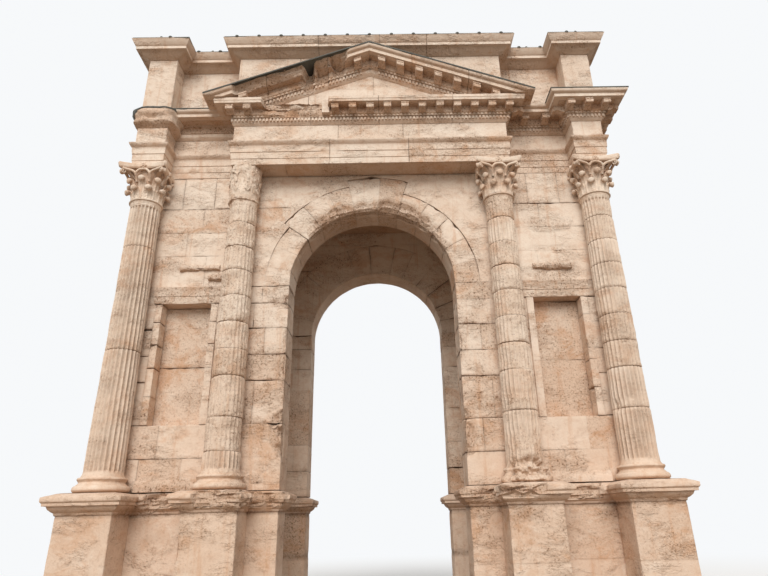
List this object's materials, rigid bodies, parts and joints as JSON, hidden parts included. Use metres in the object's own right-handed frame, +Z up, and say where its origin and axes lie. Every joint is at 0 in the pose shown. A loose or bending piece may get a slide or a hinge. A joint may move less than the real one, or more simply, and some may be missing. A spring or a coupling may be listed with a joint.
{
  "type": "triumphal arch",
  "caption": "Four-sided stone triumphal arch with engaged fluted columns, niches, a pediment on each main front and an attic.",
  "frame": {"origin": "on the ground, at the crossing of the two middle planes", "axes": "+Z up, +Y through the main arch from the front to the back, +X to the right of the front"},
  "size_m": [11.52, 6.484, 12.7449],
  "materials": {
    "warm_limestone": "weathered",
    "pale_limestone": "weathered",
    "inner_stone": "rough",
    "sheet_metal": "matte"
  },
  "bodies": {
    "root": {"pier_front_left": "warm_limestone", "pier_front_right": "warm_limestone", "pier_back_left": "warm_limestone", "pier_back_right": "warm_limestone", "pedestals_front_left": "warm_limestone", "pedestals_front_right": "warm_limestone", "pedestals_back_left": "warm_limestone", "pedestals_back_right": "warm_limestone", "column_front_left_outer": "pale_limestone", "column_front_left_inner": "pale_limestone", "column_front_right_inner": "pale_limestone", "column_front_right_outer": "pale_limestone", "column_back_left_outer": "pale_limestone", "column_back_left_inner": "pale_limestone", "column_back_right_inner": "pale_limestone", "column_back_right_outer": "pale_limestone", "capitals_front_left": "pale_limestone", "capitals_front_right": "pale_limestone", "capitals_back_left": "pale_limestone", "capitals_back_right": "pale_limestone", "arch_front": "pale_limestone", "arch_back": "pale_limestone", "arch_left": "pale_limestone", "arch_right": "pale_limestone", "spandrel_front": "warm_limestone", "spandrel_back": "warm_limestone", "side_wall_left": "warm_limestone", "side_wall_right": "warm_limestone", "ceiling": "inner_stone", "architrave_front": "warm_limestone", "architrave_back": "warm_limestone", "frieze_front": "warm_limestone", "frieze_back": "warm_limestone", "cornice_front": "pale_limestone", "cornice_back": "pale_limestone", "entablature_left": "warm_limestone", "entablature_right": "warm_limestone", "pediment_front": "pale_limestone", "pediment_back": "pale_limestone", "attic_front": "warm_limestone", "attic_back": "warm_limestone", "attic_left": "warm_limestone", "attic_right": "warm_limestone", "attic_cornice": "pale_limestone", "roof": "sheet_metal"}
  },
  "joints": []
}
